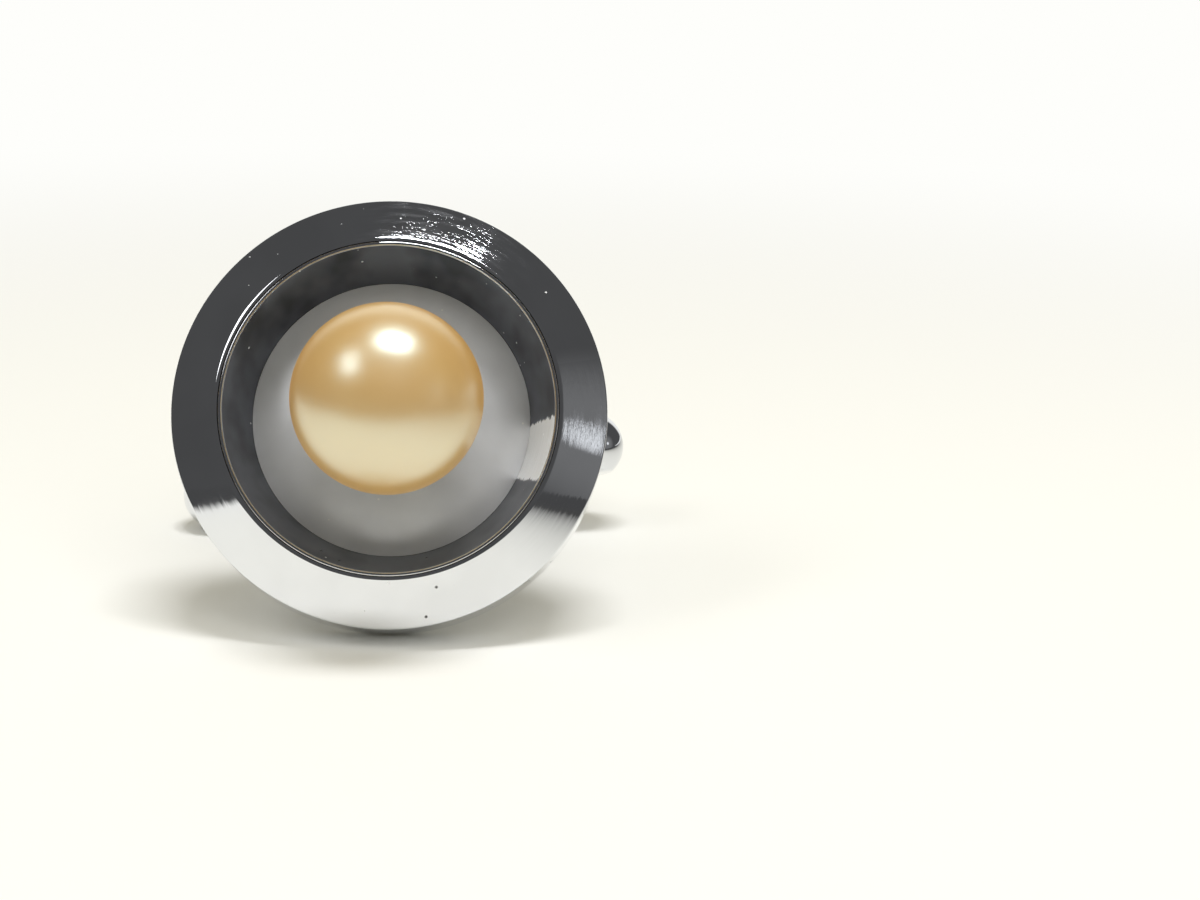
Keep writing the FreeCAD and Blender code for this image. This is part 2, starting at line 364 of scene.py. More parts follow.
def scuff_strokes(tree, turning):
    """Noise in short strokes round the axis."""
    stroked = add(tree, "Mapping", {
        "Vector": turning, "Rotation": LATTICE_TURN,
        "Scale": (FACE_RADIUS / SCUFF_LENGTH, FACE_RADIUS / SCUFF_LENGTH, 1 / SCUFF_WIDTH),
    })["Vector"]
    return add(tree, "TexNoise", {"Vector": stroked, "Scale": 1.0, "Detail": 4.0, "Roughness": 0.65})["Fac"]


def smeared_and_shaded(tree, turning, colour, grime_and_shade):
    """Plate colour under smears, in the dish painted shade: soft, broad patches dimming it by up to a share."""
    wiped = add(tree, "Mapping", {
        "Vector": turning, "Scale": (FACE_RADIUS / SMEAR_SIZE, FACE_RADIUS / SMEAR_SIZE, 1 / SMEAR_SIZE),
    })["Vector"]
    smears = add(tree, "TexNoise", {"Vector": wiped, "Scale": 1.0, "Detail": 2.0})["Fac"]
    dimmed = add(tree, "MapRange", {
        "Value": smears, "From Min": SMEAR_LOW, "From Max": SMEAR_HIGH, "To Max": grime_and_shade,
    })["Result"]
    return add(tree, "MixRGB", {"Fac": dimmed, "Color1": linear(colour), "Color2": linear(SMEAR_AND_SHADE)})["Color"]


print("a scuff is about", SCUFF_LENGTH, "mm long and", SCUFF_WIDTH, "mm wide")

# %% Worn plate with painted highlight
SCUFF_RELIEF = 0.012
SCUFF_LOW = 0.45
SCUFF_HIGH = 0.6
# Roughness as a grey, for mixing
SCUFF_ROUGHNESS = (0.12, 0.12, 0.12, 1)
# Where strokes and patch add up past these, the patch of painted highlight begins
PAINTED_PATCH_LOW = 0.95
PAINTED_PATCH_HIGH = 1.05
DUST_SPACING = 0.9
DUST_RADIUS = 0.06
DUST_SHARE = 0.6
PIT_SPACING = 1.2
PIT_RADIUS = 0.1
PIT_SHARE = 1.0
# Pits lie where the sine of the angle round the axis is below this
PITS_BELOW = -0.6
SPOT_ROUGHNESS = (0.7, 0.7, 0.7, 1)
LIP_BLEND = 0.03
# Further along than any outline runs
NO_LIP = 100.0


def plate_with_wear_and_painted_light(name, places, grime_and_shade, colour=CLEAN_PLATE, painted_highlight=0.0, lip=NO_LIP):
    """The same plate after years of use: to the eye a mirror with scuffs, smears, dust, pinholes and painted
    light.

    Places are given as (angle, spread) in degrees, where the plate is scuffed. A share of painted highlight
    turns them into a whitish, matt patch: a highlight painted into the colour. Smears dim the plate by up to
    their share, and in the dish they and its darker colour are painted shade. Past the lip, given as a length
    along the outline in mm, the plate is clean.
    """
    material, tree, surface = new_material(name)
    turning = add(tree, "Attribute", {}, attribute_name="turning")["Vector"]
    point = point_in_mm(tree)
    buffed_relief, buffed_roughness = buffed(tree, turning, point)
    along = add(tree, "SeparateXYZ", {"Vector": turning})
    inside = add(tree, "MapRange", {
        "Value": along["Z"], "From Min": lip, "From Max": lip - LIP_BLEND,
    })["Result"]
    # Scuffs roughen the plate and cut into it
    marked = scuffed_and_painted_places(tree, turning, places)
    patch = add(tree, "Math", {0: marked, 1: inside}, operation="MULTIPLY")[0]
    strokes = scuff_strokes(tree, turning)
    blots = add(tree, "MapRange", {
        "Value": strokes, "From Min": SCUFF_LOW, "From Max": SCUFF_HIGH,
    })["Result"]
    scuffs = add(tree, "Math", {0: blots, 1: patch}, operation="MULTIPLY")[0]
    depth = add(tree, "Math", {0: strokes, 1: patch}, operation="MULTIPLY")[0]
    relief = add(tree, "Bump", {
        "Distance": SCUFF_RELIEF * MM, "Height": depth, "Normal": buffed_relief,
    })["Normal"]
    scuffed = add(tree, "MixRGB", {
        "Fac": scuffs, "Color1": buffed_roughness, "Color2": SCUFF_ROUGHNESS,
    })["Color"]
    # Where strokes and patch add up, a whitish, matt patch with a ragged edge is painted in: a painted highlight
    ragged = add(tree, "Math", {0: strokes, 1: patch}, operation="ADD")[0]
    painted_patch = add(tree, "MapRange", {
        "Value": ragged, "From Min": PAINTED_PATCH_LOW, "From Max": PAINTED_PATCH_HIGH, "To Max": painted_highlight,
    })["Result"]
    # Dust lies everywhere, pits only low down
    dust = scattered(tree, point, DUST_SPACING, DUST_RADIUS, DUST_SHARE)
    holes = scattered(tree, point, PIT_SPACING, PIT_RADIUS, PIT_SHARE)
    below = add(tree, "Math", {0: along["Y"], 1: PITS_BELOW}, operation="LESS_THAN")[0]
    pits = add(tree, "Math", {0: holes, 1: below}, operation="MULTIPLY")[0]
    spots = add(tree, "Math", {0: dust, 1: pits}, operation="MAXIMUM")[0]
    # Colour, bare metal and roughness, from the plate up
    # In the dish the darker colour and the heavy smears are painted shade; on the rim the smears are faint dirt
    soiled_and_shaded = smeared_and_shaded(tree, turning, colour, grime_and_shade)
    metal = add(tree, "MixRGB", {"Fac": inside, "Color1": linear(CLEAN_PLATE), "Color2": soiled_and_shaded})["Color"]
    # Pale spots: dust, and the whitish patch that is a painted highlight
    pale = add(tree, "Math", {0: dust, 1: painted_patch}, operation="MAXIMUM")[0]
    paled = add(tree, "MixRGB", {"Fac": pale, "Color1": metal, "Color2": linear("#F6F9FF")})["Color"]
    tone = add(tree, "MixRGB", {"Fac": pits, "Color1": paled, "Color2": linear("#1C1A18")})["Color"]
    covered = add(tree, "Math", {0: spots, 1: painted_patch}, operation="MAXIMUM")[0]
    bare = add(tree, "Math", {0: 1.0, 1: covered}, operation="SUBTRACT")[0]
    roughness = add(tree, "MixRGB", {"Fac": spots, "Color1": scuffed, "Color2": SPOT_ROUGHNESS})["Color"]
    shader = add(tree, "BsdfPrincipled", {
        "Base Color": tone, "Metallic": bare, "Roughness": roughness, "Normal": relief,
    })
    tree.links.new(shader["BSDF"], surface)
    return material


rim_plate = plate_with_wear_and_painted_light("rhodium_plated_brass_worn_rim", places=[(62, 34), (-7, 14)], grime_and_shade=0.06)
print("made", rim_plate.name)

# %% [markdown]
# ## Satin plate
#
# The dome has the same plate, but over a blasted surface: the tiny pits spread each reflection until only a
# soft grey is left. Real pits would need millions of faces, so a rough shader with a fine grain in its
# normals stands for them, and half of the light is scattered as by a matt surface.

# %% Satin plate
BLAST_GRAIN = 0.09
BLAST_RELIEF = 0.006
BLAST_STRENGTH = 0.35
SATIN_CLOUD = 2.0
SATIN_METAL = 0.5
SATIN_DUST_SHARE = 0.5
STAIN_SIZE = 1.4
STAIN_LOW = 0.35
STAIN_HIGH = 0.65
SATIN_ROUGHNESS = 0.32
STAIN_ROUGHNESS = 0.44


def satin_plate():
    """The same plate over fine blasting: a soft grey with a faint grain, too fine to show, drawn coarser."""
    material, tree, surface = new_material("rhodium_plated_brass_satin")
    point = point_in_mm(tree)
    grain = add(tree, "TexNoise", {"Vector": point, "Scale": 1 / BLAST_GRAIN, "Detail": 2.0})["Fac"]
    relief = add(tree, "Bump", {
        "Strength": BLAST_STRENGTH, "Distance": BLAST_RELIEF * MM, "Height": grain,
    })["Normal"]
    cloud = add(tree, "TexNoise", {"Vector": point, "Scale": 1 / SATIN_CLOUD, "Detail": 3.0})["Fac"]
    tone = add(tree, "MixRGB", {
        "Fac": cloud, "Color1": linear("#D9DBE0"), "Color2": linear("#EEF0F4"),
    })["Color"]
    dust = scattered(tree, point, DUST_SPACING, DUST_RADIUS, SATIN_DUST_SHARE)
    paled = add(tree, "MixRGB", {"Fac": dust, "Color1": tone, "Color2": linear("#F6F6F4")})["Color"]
    bare = add(tree, "MapRange", {"Value": dust, "To Min": SATIN_METAL, "To Max": 0.0})["Result"]
    stains = add(tree, "TexNoise", {"Vector": point, "Scale": 1 / STAIN_SIZE, "Detail": 4.0})["Fac"]
    roughness = add(tree, "MapRange", {
        "Value": stains, "From Min": STAIN_LOW, "From Max": STAIN_HIGH, "To Min": SATIN_ROUGHNESS,
        "To Max": STAIN_ROUGHNESS,
    })["Result"]
    shader = add(tree, "BsdfPrincipled", {
        "Base Color": paled, "Metallic": bare, "Roughness": roughness, "Normal": relief,
    })
    tree.links.new(shader["BSDF"], surface)
    return material


satin = satin_plate()
print("made", satin.name)

# %% [markdown]
# ## Spring steel
#
# The dished washer has to stay springy, so it is rolled steel without a plate: grey, dull, and faintly
# streaked along the way it went through the rollers. Noise that is stretched that way gives the streaks.

# %% Spring steel
STREAK_LENGTH = 1.0
STREAK_WIDTH = 0.125
STEEL_BRIGHT = 0.25
STEEL_DULL = 0.5


def spring_steel():
    """Rolled spring steel: to the eye a dull grey metal with faint streaks."""
    material, tree, surface = new_material("spring_steel_rolled")
    rolled = add(tree, "Mapping", {
        "Vector": point_in_mm(tree), "Scale": (1 / STREAK_LENGTH, 1 / STREAK_WIDTH, 1 / STREAK_WIDTH),
    })["Vector"]
    streaks = add(tree, "TexNoise", {"Vector": rolled, "Scale": 1.0, "Detail": 3.0})["Fac"]
    roughness = add(tree, "MapRange", {
        "Value": streaks, "To Min": STEEL_BRIGHT, "To Max": STEEL_DULL,
    })["Result"]
    tone = add(tree, "MixRGB", {
        "Fac": streaks, "Color1": linear("#84868C"), "Color2": linear("#A2A4A9"),
    })["Color"]
    shader = add(tree, "BsdfPrincipled", {"Base Color": tone, "Metallic": 1.0, "Roughness": roughness})
    tree.links.new(shader["BSDF"], surface)
    return material


steel = spring_steel()
print("made", steel.name)

# %% [markdown]
# ## Nacre
#
# A pearl is thousands of clear layers over a golden body. Each layer reflects a little, and together they
# shine more strongly and more softly than one surface does. The layers can't be modelled one by one. A high
# index of refraction under a rough clear coat stands for them, a cool tint gives their overtone, and a
# golden sheen the deeper colour at the edge.

# %% Golden nacre
BODY_CLOUD = 2.857
GROWTH_SIZE = 1.2
GROWTH_RELIEF = 0.012


def golden_nacre():
    """Nacre of a golden cream pearl: to the eye a warm body under a clear, softly shining skin."""
    material, tree, surface = new_material("golden_pearl_nacre")
    point = point_in_mm(tree)
    cloud = add(tree, "TexNoise", {"Vector": point, "Scale": 1 / BODY_CLOUD, "Detail": 3.0})["Fac"]
    body = add(tree, "MixRGB", {
        "Fac": cloud, "Color1": linear("#EAB25B"), "Color2": linear("#F0C06D"),
    })["Color"]
    growth = add(tree, "TexNoise", {"Vector": point, "Scale": 1 / GROWTH_SIZE, "Detail": 2.0})["Fac"]
    skin = add(tree, "Bump", {"Distance": GROWTH_RELIEF * MM, "Height": growth})["Normal"]
    shader = add(tree, "BsdfPrincipled", {
        "Base Color": body, "Roughness": 0.36, "Normal": skin,
        "IOR": 3.2, "Specular Tint": linear("#B8FAFA"),
        "Coat Weight": 0.55, "Coat Roughness": 0.32, "Coat IOR": 4.2, "Coat Normal": skin,
        "Sheen Weight": 0.6, "Sheen Roughness": 0.3, "Sheen Tint": linear("#B07400"),
    })
    tree.links.new(shader["BSDF"], surface)
    return material


nacre = golden_nacre()
print("made", nacre.name)

# %% [markdown]
# ## Dressing a piece
#
# Each finished surface takes the place of one CAD node. One function says it all, so that no piece is left
# behind when the bar swings.

# %% Dressing a piece


def dress(piece, node, material=plate, body="link"):
    """Gives a piece its finish, sets it in the CAD node's stead and lets it move with its body."""
    piece.data.materials.append(material)
    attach(piece, body)
    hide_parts(node)
    print(piece.name, "stands for", node, "with", len(piece.data.polygons), "faces")


print(len(frame["nodes"]), "CAD nodes are to be dressed")

# %% [markdown]
# ## The bevelled rim
#
# The rim is one turned ring: a sloping mirror face, a straight skirt and a rebate behind for the back plate.
# Its corners are measured on the CAD node. The bevel's inner edge is rolled over a little and the skirt's
# back edge is buffed quite round, so that each gathers a bright line of light. The bevel could be left flat,
# but a buff always crowns it slightly, and that bends the line between white and dark.

# %% Rim
TIGHT_EDGE = 0.05
SOFT_EDGE = 0.12
LIP_ROLL = 0.33
SKIRT_ROUND = 0.4
BEVEL_CROWN = 0.016
BEVEL_STEPS = 9
radius, station = turned_corners("bezel_ring")
rim_radius, bore_radius = radius.max(), radius.min()
lip_y, back_y = station.min(), station.max()
lip_radius = radius[near(station, lip_y)].max()
bevel_edge_y = station[near(radius, rim_radius)].min()
rebate_radius = radius[near(station, back_y)].min()
rebate_y = station[near(radius, bore_radius)].max()


def crowned_bevel():
    """Points between the bevel's edges, raised off the straight line by crown 4t(1 - t)."""
    inner = np.array([lip_radius, lip_y])
    run = np.array([rim_radius, bevel_edge_y]) - inner
    outward = np.array([run[1], -run[0]]) / np.linalg.norm(run)
    t = np.linspace(0, 1, BEVEL_STEPS)[1:-1, None]
    points = inner + run * t + outward * BEVEL_CROWN * 4 * t * (1 - t)
    return [(radius, station, 0) for radius, station in points.tolist()]


rim = turned("bevelled_rim", rounded_outline([
    (bore_radius, lip_y, 0),
    (lip_radius, lip_y, LIP_ROLL),
    *crowned_bevel(),
    (rim_radius, bevel_edge_y, SOFT_EDGE),
    (rim_radius, back_y, SKIRT_ROUND),
    (rebate_radius, back_y, TIGHT_EDGE),
    (rebate_radius, rebate_y, 0),
    (bore_radius, rebate_y, 0),
]))
dress(rim, "bezel_ring", rim_plate)

# %% [markdown]
# ## The dish
#
# A spun cup is pressed into the ring. Its rounded edge and the hairline gap beside it make the fine double
# line inside the bevel. The outline starts at the hole in the floor and runs up the wall, so that lengths
# along it are true there and the lip can be placed. The wall is painted darker than the rim, under heavy
# smears: painted shade for the deep dish. A pale patch on its wall is a painted highlight. The lip is as
# bright as the rim.

# %% Dish
EDGE_SHARE = 0.45
radius, station = turned_corners("dish_cup")
dish_radius, peg_hole = radius.max(), radius.min()
mouth_radius = radius[near(station, lip_y)].min()
band_y = station[near(radius, dish_radius)].max()
dish_back_y = station.max()
dish_back_radius = radius[near(station, dish_back_y)].max()
floor_y = station[near(radius, peg_hole)].min()
floor_radius = radius[near(station, floor_y)].max()
rim_round = EDGE_SHARE * (dish_radius - mouth_radius)
dish = turned("spun_dish", rounded_outline([
    (peg_hole, floor_y, 0),
    (floor_radius, floor_y, TIGHT_EDGE),
    (mouth_radius, lip_y, rim_round),
    (dish_radius, lip_y, rim_round),
    (dish_radius, band_y, TIGHT_EDGE),
    (dish_back_radius, dish_back_y, SOFT_EDGE),
    (peg_hole, dish_back_y, 0),
]))
wall_run = math.hypot(mouth_radius - floor_radius, floor_y - lip_y)
# Painted shade in the dish: darker colour, heavy smears; the patch at -22 degrees is a painted highlight
dish_plate_painted_light = plate_with_wear_and_painted_light(
    "rhodium_plated_brass_dish_painted_shade_and_highlight",
    places=[(-22, 15)],
    grime_and_shade=0.75,
    colour="#707278",
    painted_highlight=1.0,
    lip=floor_radius - peg_hole + wall_run - rim_round,
)
dress(dish, "dish_cup", dish_plate_painted_light)

# %% [markdown]
# ## The dome and the pearl's seat
#
# On the floor of the dish lies the satin dome, a slice of a sphere, and a small polished seat with a hollow
# top holds the dome down and the pearl up. The spheres aren't written down again: two rings of corners on
# the CAD node are enough to find a sphere's centre. The dome's skin reaches a hair further than the node's,
# because a pressed dome closes up with the wall.

# %% Dome
CAP_STEPS = 40
DOME_REACH = 0.045


def sphere_centre(first_radius, first_station, second_radius, second_station):
    """Station of the centre, on the axis, of the sphere through two rings: both are as far from it."""
    reach = first_radius**2 + first_station**2 - second_radius**2 - second_station**2
    return reach / (2 * (first_station - second_station))


radius, station = turned_corners("satin_dome")
dome_radius, dome_hole = radius.max(), radius.min()
dome_edge_y = station[near(radius, dome_radius)].min()
land_y = station.min()
land_radius = radius[near(station, land_y)].max()
dome_centre = sphere_centre(dome_radius, dome_edge_y, land_radius, land_y)
skin_radius = dome_radius + DOME_REACH
skin_edge_y = dome_centre - math.sqrt(dome_radius**2 + (dome_centre - dome_edge_y)**2 - skin_radius**2)
dome_skin = cap_outline(skin_radius, skin_edge_y, land_radius, dome_centre, CAP_STEPS)
dome = turned("frosted_dome", np.concatenate([
    [[dome_hole, land_y]],
    dome_skin[::-1],
    [[dome_radius, station.max()], [dome_hole, station.max()]],
]))
dress(dome, "satin_dome", satin)

# %% Seat
FLANGE_EDGE = 0.072
radius, station = turned_corners("pearl_seat")
seat_radius, seat_hole = radius.max(), radius.min()
seat_rim_y, seat_back_y = station.min(), station.max()
flange_y = station[near(radius, seat_radius)].max()
stem_radius = radius[near(station, seat_back_y)].max()
hollow_y = station[near(radius, seat_hole)].min()
hollow_centre = sphere_centre(seat_radius, seat_rim_y, seat_hole, hollow_y)
hollow = cap_outline(seat_radius - SOFT_EDGE, seat_rim_y, seat_hole, hollow_centre, CAP_STEPS)
flange = rounded_outline([
    (seat_radius - 2 * SOFT_EDGE, seat_rim_y, 0),
    (seat_radius, seat_rim_y, FLANGE_EDGE),
    (seat_radius, flange_y, TIGHT_EDGE),
    (stem_radius, flange_y, 0),
    (stem_radius, seat_back_y, 0),
    (seat_hole, seat_back_y, 0),
])
seat = turned("pearl_cup", np.concatenate([hollow[::-1], flange[1:]]))
dress(seat, "pearl_seat")

# %% [markdown]
# ## The pearl
#
# A pearl is close to a sphere but never one: it is a little out of round, and half drilled from behind for
# its peg. The spun outline has the hole in it, and a low swell, a few hundredths of a millimetre, is then
# added along each point's own direction.

# %% Pearl
PEARL_STEPS = 128
SWELL = 0.02
radius, station = turned_corners("pearl")
pearl_radius = radius.max()
pearl_front_y = station.min()
pearl_y = pearl_front_y + pearl_radius
hole_end_y = station[near(radius, peg_hole)].min()
polar = np.linspace(math.asin(peg_hole / pearl_radius), np.pi, PEARL_STEPS)
skin = np.stack([pearl_radius * np.sin(polar), pearl_y + pearl_radius * np.cos(polar)], 1)
skin[-1, 0] = 0
hole = np.array([[0, hole_end_y], [peg_hole, hole_end_y]])
pearl = turned("golden_pearl", np.concatenate([[skin[-1]], skin[-2::-1], hole[::-1]]))


def swell(piece, centre_y, height):
    """Moves each point out by a wave of its direction n: height (sin 2n_x + cos 3n_z + n_x n_y) / 2."""
    local = corners_in_link(piece) - [0, centre_y, 0]
    ways = local / np.maximum(np.linalg.norm(local, axis=1, keepdims=True), TOUCH)
    out = height / 2 * (np.sin(2 * ways[:, :1]) + np.cos(3 * ways[:, 2:]) + ways[:, :1] * ways[:, 1:2])
    moved = (local + ways * out + [0, centre_y, 0]) @ link_axes * MM + rivet_middle
    piece.data.vertices.foreach_set("co", moved.ravel())


swell(pearl, pearl_y, SWELL)
dress(pearl, "pearl", nacre)

# %% [markdown]
# ## Behind the face
#
# The back is what the wearer handles: a plate that closes the ring, a round foot, the riveted end of the
# pearl's peg, and the bent strip that carries the swivel bar. All but the strip are turned, so the same kind
# of outline serves again.

# %% Peg
radius, station = turned_corners("pearl_peg")
peg_radius = radius[near(station, station.min())].max()
head_radius = radius.max()
head_y = station[near(radius, head_radius)].min()
head_top = radius[near(station, station.max())].max()
peg = turned("riveted_peg", rounded_outline([
    (0, station.min(), 0),
    (peg_radius, station.min(), TIGHT_EDGE),
    (peg_radius, head_y, 0),
    (head_radius, head_y, TIGHT_EDGE),
    (head_top, station.max(), SOFT_EDGE),
    (0, station.max(), 0),
]))
dress(peg, "pearl_peg")

# %% Back plate
radius, station = turned_corners("back_plate")
plate_radius, plate_hole = radius.max(), radius.min()
recess_y = station[near(radius, plate_hole)].max()
recess_radius = radius[near(station, recess_y)].max()
closing_plate = turned("closing_plate", rounded_outline([
    (plate_hole, station.min(), 0),
    (plate_radius, station.min(), 0),
    (plate_radius, station.max(), SOFT_EDGE),
    (recess_radius, station.max(), TIGHT_EDGE),
    (recess_radius, recess_y, 0),
    (plate_hole, recess_y, 0),
]))
dress(closing_plate, "back_plate")

# %% Foot
radius, station = turned_corners("post_foot")
foot_radius, foot_hole = radius.max(), radius.min()
foot_top = radius[near(station, station.max())].max()
foot_slope_y = station[near(radius, foot_radius)].max()
foot = turned("post_pad", rounded_outline([
    (foot_hole, station.min(), 0),
    (foot_radius, station.min(), 0),
    (foot_radius, foot_slope_y, SOFT_EDGE),
    (foot_top, station.max(), SOFT_EDGE),
    (foot_hole, station.max(), 0),
]))
dress(foot, "post_foot")

# %% [markdown]
# ## The bent post
#
# The post is a flat strip, cut with a slight taper and round ends, then bent to a U. Here it is made the
# same way: first the flat blank, as an outline with a rounded edge, then the bend. A point of the blank is
# (across, along, through the thickness), and the bend carries it to the place that its length along the U's
# middle line gives, moved sideways by its depth.

# %% The bend
corners = corners_in_link(frame["nodes"]["post_frame"])
prong_outer = np.abs(corners[:, 2]).max()
prong_inner = np.abs(corners[corners[:, 1] > 0, 2]).min()
pad_y = corners[:, 1].min()
strip = prong_outer - prong_inner
end_half = corners[:, 1].max()
base_half = np.abs(corners[:, 0]).max()
bend_y = corners[near(np.abs(corners[:, 2]), prong_inner), 1].min()
inner_bend = bend_y - pad_y - strip
middle_bend = inner_bend + strip / 2
prong_run = -bend_y
bend_run = middle_bend * math.pi / 2
floor_run = 2 * (prong_inner - inner_bend)
strip_run = 2 * prong_run + 2 * bend_run + floor_run


def middle_line(along):
    """Place (Y, Z) and turn of the U's middle line: the turn grows by a right angle in each bend."""
    first = np.clip((along - prong_run) / bend_run, 0, 1)
    second = np.clip((along - prong_run - bend_run - floor_run) / bend_run, 0, 1)
    turn = (first + second) * math.pi / 2
    down = np.maximum(prong_run - along, 0)
    up = np.maximum(along - strip_run + prong_run, 0)
    across_floor = np.clip(along - prong_run - bend_run, 0, floor_run)
    y = bend_y - middle_bend * np.sin(turn) + down + up
    z = across_floor - floor_run / 2 - middle_bend * np.cos(turn)
    return y, z, turn


def bent(across, along, depth):
    """Carries the flat blank's points to the bent strip: the middle line's place plus the depth sideways."""
    y, z, turn = middle_line(along)
    return np.stack([across, y - depth * np.sin(turn), z - depth * np.cos(turn)], -1)


print("the strip is", round(strip_run + 2 * end_half, 2), "mm long before it is bent")

# %% The blank
EDGE_ROUND = 0.14
EDGE_POINTS = 5
PRONG_STEPS = 8
BEND_STEPS = 14
FLOOR_STEPS = 6
END_POINTS = 25
# The buff runs along the strip, so marks are drawn this many times as long that way
STROKE = 10


def blank_outline():
    """Edge of the flat blank, its outward direction and the point of the spine behind it, once round."""
    straight = np.linspace(0, prong_run, PRONG_STEPS, endpoint=False)
    curve = np.linspace(0, bend_run, BEND_STEPS, endpoint=False)
    flat = np.linspace(0, floor_run, FLOOR_STEPS, endpoint=False)
    side = np.concatenate([
        straight,
        prong_run + curve,
        prong_run + bend_run + flat,
        prong_run + bend_run + floor_run + curve,
        strip_run - prong_run + straight,
    ])[1:]
    half = end_half + (base_half - end_half) * middle_line(side)[0] / pad_y
    turn = np.linspace(0, math.pi, END_POINTS)
    upper = np.stack([end_half * np.cos(turn), strip_run + end_half * np.sin(turn)], 1)
    lower = np.stack([-end_half * np.cos(turn), -end_half * np.sin(turn)], 1)
    edge = np.concatenate([np.stack([half, side], 1), upper, np.stack([-half, side], 1)[::-1], lower])
    spine = np.stack([np.zeros(len(edge)), np.clip(edge[:, 1], 0, strip_run)], 1)
    outward = (edge - spine) / np.linalg.norm(edge - spine, axis=1, keepdims=True)
    return edge, outward, spine


def merge_doubles(piece):
    """Joins points that lie on each other, so that no slit and no face without area is left."""
    shell = bmesh.new()
    shell.from_mesh(piece.data)
    bmesh.ops.remove_doubles(shell, verts=shell.verts, dist=TOUCH * MM / 10)
    shell.to_mesh(piece.data)
    shell.free()
    piece.data.set_sharp_from_angle(angle=SHARP_ANGLE)


edge, outward, spine = blank_outline()
quarter = np.linspace(0, math.pi / 2, EDGE_POINTS)
inset = np.concatenate([[EDGE_ROUND + GUARD], EDGE_ROUND * (1 - np.sin(quarter))])
depth = np.concatenate([[strip / 2], strip / 2 - EDGE_ROUND * (1 - np.cos(quarter))])
inset = np.concatenate([inset, inset[::-1]])
depth = np.concatenate([depth, -depth[::-1]])
blank = np.concatenate([spine[None], edge[None] - inset[:, None, None] * outward[None], spine[None]])
depths = np.concatenate([[strip / 2], depth, [-strip / 2]])[:, None].repeat(len(edge), 1)
points = bent(blank[:, :, 0], blank[:, :, 1], depths).reshape(-1, 3)
index = np.arange(len(points)).reshape(depths.shape)
around = np.roll(index, -1, 1)
quads = np.stack([index[:-1], index[1:], around[1:], around[:-1]], 2).reshape(-1, 4)
brushed = np.stack([blank[:, :, 1] / STROKE, depths / STROKE, blank[:, :, 0]], 2).reshape(-1, 3)
post = new_piece("bent_post", points, quads.tolist(), brushed)
merge_doubles(post)
dress(post, "post_frame")

# %% [markdown]
# ## The swivel
#
# The bar turns on a rivet between the prongs. A dished washer above it and a flat one below keep it from
# turning by itself. The bar is a rod with round ends, spun about its own length, and a spool-shaped cutter
# then bores it and sinks the two flats for the washers, as a drill and a spot facer do.

# %% Rivet
SMALL_TURN_STEPS = 128
HEAD_STEPS = 16
radius, station = turned_corners("pivot_rivet", axis=2)
shank_radius = radius[near(np.abs(station), prong_outer)].min()
head_radius = radius.max()
head_end = station.max()
head_centre = sphere_centre(head_radius, prong_outer, 0, head_end)
upper_head = cap_outline(head_radius, prong_outer, 0, head_centre, HEAD_STEPS)
lower_head = upper_head * [1, -1]
rivet = turned("swivel_rivet", np.concatenate([
    lower_head[::-1],
    [[shank_radius, -prong_outer], [shank_radius, prong_outer]],
    upper_head,
]), axis=2, segments=SMALL_TURN_STEPS)
dress(rivet, "pivot_rivet")

# %% Washers


def washer(name, node):
    """Turned washer whose four corners are those of the CAD node, with its edges just broken."""
    radius, station = turned_corners(node, axis=2)
    inside = station[near(radius, radius.min())]
    outside = station[near(radius, radius.max())]
    return turned(name, rounded_outline([
        (radius.min(), inside.min(), GUARD),
        (radius.max(), outside.min(), GUARD),
        (radius.max(), outside.max(), GUARD),
        (radius.min(), inside.max(), GUARD),
    ]), axis=2, segments=SMALL_TURN_STEPS)


dress(washer("dished_washer", "spring_washer"), "spring_washer", steel)
dress(washer("flat_washer", "bearing_washer"), "bearing_washer")

# %% Bar
TIP_STEPS = 24
# How far, in mm, the cutter runs out past the bar
RUN_OUT = 0.5
corners = corners_in_link(frame["nodes"]["toggle_bar"])
bar_half = corners[:, 0].max()
bar_radius = corners[:, 1].max()
radius, station = turned_corners("toggle_bar", axis=2)
hub_half = np.abs(station[radius < prong_inner]).min()
bore = radius.min()
spot_radius = radius[near(np.abs(station), hub_half)].max()
tip = np.linspace(0, math.pi / 2, TIP_STEPS)
right_tip = np.stack([bar_radius * np.cos(tip), bar_half - bar_radius + bar_radius * np.sin(tip)], 1)
right_tip[-1, 0] = 0
bar = turned("swivel_bar", np.concatenate([(right_tip * [1, -1])[::-1], right_tip]), axis=0)
cutter = turned("spot_facer", np.array([
    [0, -bar_radius - RUN_OUT],
    [spot_radius, -bar_radius - RUN_OUT],
    [spot_radius, -hub_half],
    [bore, -hub_half],
    [bore, hub_half],
    [spot_radius, hub_half],
    [spot_radius, bar_radius + RUN_OUT],
    [0, bar_radius + RUN_OUT],
]), axis=2, segments=SMALL_TURN_STEPS)


def cut_away(piece, tool):
    """Takes the tool's shape out of a piece and throws the tool away."""
    cut = piece.modifiers.new("spot_face", "BOOLEAN")
    cut.operation = "DIFFERENCE"
    cut.solver = "EXACT"
    cut.object = tool
    graph = bpy.context.evaluated_depsgraph_get()
    finished = bpy.data.meshes.new_from_object(piece.evaluated_get(graph))
    piece.modifiers.clear()
    piece.data = finished
    bpy.data.objects.remove(tool)


cut_away(bar, cutter)
merge_doubles(bar)
dress(bar, "toggle_bar", body="toggle")

# %% [markdown]
# ## Paper
#
# The link stands on white paper. Far off, only very strong lamps would make it white, so there it is shown
# plainly white, and close to the link it is matt and takes the shadows. In mirrors the paper doesn't go on
# for ever: it ends where the dark room begins, and that edge is the sharp line between white and dark on the
# bevel. At the right, in mirrors only, it is darkened: painted shade for a second link and its shadow there.

# %% Paper
PAPER_HALF = 0.9
# Where each change begins and ends, in metres: all round the link, then along Y or X
PLAIN = (0.02, 0.14)
AHEAD = (-0.050, -0.062)
